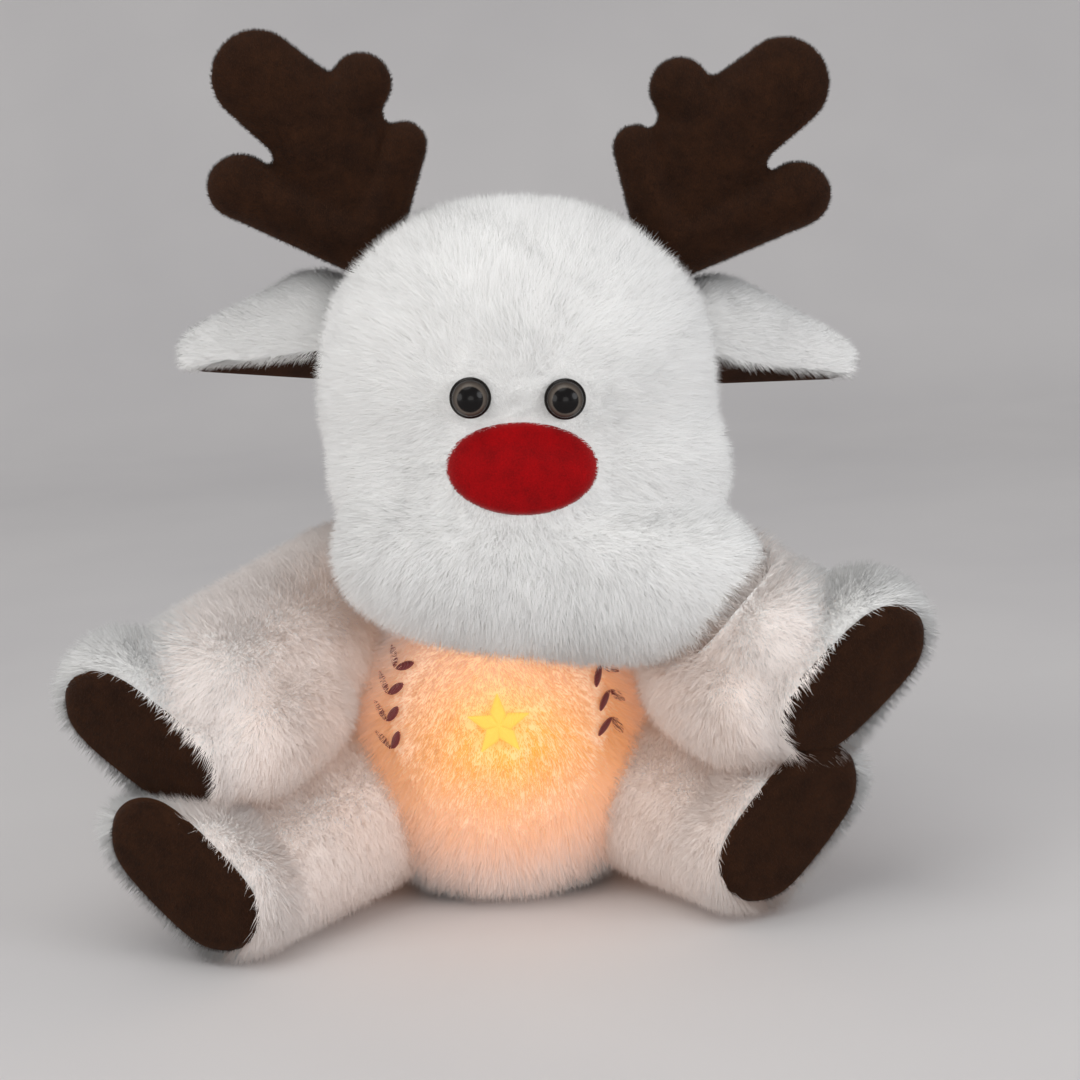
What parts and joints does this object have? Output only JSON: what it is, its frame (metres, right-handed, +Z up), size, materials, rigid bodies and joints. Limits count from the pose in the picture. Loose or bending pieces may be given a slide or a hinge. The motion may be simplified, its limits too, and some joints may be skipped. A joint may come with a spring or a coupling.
{
  "type": "light-up plush reindeer",
  "caption": "Seated stuffed plush reindeer with brown antlers, red nose and a battery lamp that glows through its belly; soft head, limbs and ears move.",
  "frame": {"origin": "on the floor, at the centre of the flat seat under the torso", "axes": "+Z up, the toy faces -Y, +X towards the toy's own left; the head leans a little towards +X"},
  "size_m": [0.327, 0.1786, 0.343],
  "materials": {
    "white_plush": "matte",
    "stuffing": "matte",
    "lit_plush": "matte",
    "yellow_thread": "satin",
    "red_thread": "satin",
    "red_felt": "matte",
    "brown_velboa": "matte",
    "white_plastic": "satin",
    "frosted_plastic": "satin",
    "green_board": "satin",
    "led_body": "gloss",
    "steel": "satin",
    "black_wire": "satin",
    "pouch_cloth": "matte",
    "battery_jacket": "gloss",
    "black_plastic": "satin",
    "eye_plastic": "polished",
    "nylon_tape": "matte"
  },
  "bodies": {
    "torso": {"torso_skin": "white_plush", "torso_stuffing": "stuffing", "belly_panel": "lit_plush", "belly_star": "yellow_thread", "belly_sprigs": "red_thread", "lamp_housing": "white_plastic", "lamp_diffuser": "frosted_plastic", "lamp_board": "green_board", "lamp_leds": "led_body", "lamp_screws": "steel", "lamp_lead": "black_wire", "battery_pouch": "pouch_cloth", "battery_case": "white_plastic", "battery_lid": "white_plastic", "battery_lid_screw": "steel", "battery_cells": "battery_jacket", "battery_contacts": "steel", "switch_body": "black_plastic", "loop_tape": "nylon_tape"},
    "switch_knob": {"switch_knob": "black_plastic"},
    "flap": {"back_flap": "white_plush", "hook_tape": "nylon_tape"},
    "neck": {"neck_core": "stuffing"},
    "head": {"head_skin": "white_plush", "head_stuffing": "stuffing", "nose": "red_felt", "left_eye": "eye_plastic", "right_eye": "eye_plastic", "eye_stems": "black_plastic", "eye_washers": "white_plastic"},
    "left_antler": {"left_antler_skin": "brown_velboa", "left_antler_stuffing": "stuffing"},
    "right_antler": {"right_antler_skin": "brown_velboa", "right_antler_stuffing": "stuffing"},
    "left_ear": {"left_ear_outer": "white_plush", "left_ear_lining": "brown_velboa"},
    "right_ear": {"right_ear_outer": "white_plush", "right_ear_lining": "brown_velboa"},
    "left_arm": {"left_arm_skin": "white_plush", "left_arm_stuffing": "stuffing", "left_paw_pad": "brown_velboa"},
    "right_arm": {"right_arm_skin": "white_plush", "right_arm_stuffing": "stuffing", "right_paw_pad": "brown_velboa"},
    "left_leg": {"left_leg_skin": "white_plush", "left_leg_stuffing": "stuffing", "left_foot_pad": "brown_velboa"},
    "right_leg": {"right_leg_skin": "white_plush", "right_leg_stuffing": "stuffing", "right_foot_pad": "brown_velboa"}
  },
  "joints": [
    {"name": "head_turn", "type": "hinge", "parent": "torso", "child": "neck", "pos_m": [0.009, 0.004, 0.122], "axis": [0.075, 0, 0.9972], "range_deg": [-8, 8]},
    {"name": "head_nod", "type": "hinge", "parent": "neck", "child": "head", "pos_m": [0.009, 0.004, 0.122], "axis": [0.9972, 0, -0.075], "range_deg": [-5, 2]},
    {"name": "left_antler_bend", "type": "hinge", "parent": "head", "child": "left_antler", "pos_m": [0.07628, 0.006, 0.2433], "axis": [0.9972, 0, -0.075], "range_deg": [-8, 8]},
    {"name": "right_antler_bend", "type": "hinge", "parent": "head", "child": "right_antler", "pos_m": [-0.03939, 0.006, 0.25199], "axis": [0.9972, 0, -0.075], "range_deg": [-8, 8]},
    {"name": "left_ear_lift", "type": "hinge", "parent": "head", "child": "left_ear", "pos_m": [0.0952, 0.008, 0.2148], "axis": [0, -1, 0], "range_deg": [-12, 20]},
    {"name": "right_ear_lift", "type": "hinge", "parent": "head", "child": "right_ear", "pos_m": [-0.06235, 0.008, 0.22664], "axis": [0, 1, 0], "range_deg": [-12, 20]},
    {"name": "left_arm_swing", "type": "hinge", "parent": "torso", "child": "left_arm", "pos_m": [0.057, 0.013, 0.11], "axis": [0, 0, 1], "range_deg": [0, 15]},
    {"name": "right_arm_swing", "type": "hinge", "parent": "torso", "child": "right_arm", "pos_m": [-0.057, 0.013, 0.11], "axis": [0, 0, -1], "range_deg": [0, 15]},
    {"name": "left_leg_spread", "type": "hinge", "parent": "torso", "child": "left_leg", "pos_m": [0.044, -0.002, 0.041], "axis": [0, 0, 1], "range_deg": [-6, 14]},
    {"name": "right_leg_spread", "type": "hinge", "parent": "torso", "child": "right_leg", "pos_m": [-0.044, -0.002, 0.041], "axis": [0, 0, -1], "range_deg": [-6, 14]},
    {"name": "flap_open", "type": "hinge", "parent": "torso", "child": "flap", "pos_m": [0, 0.0596, 0.1003], "axis": [1, 0, 0], "range_deg": [0, 100]},
    {"name": "switch_slide", "type": "slide", "parent": "torso", "child": "switch_knob", "axis": [1, 0, 0], "range_m": [-0.0034, 0]}
  ]
}
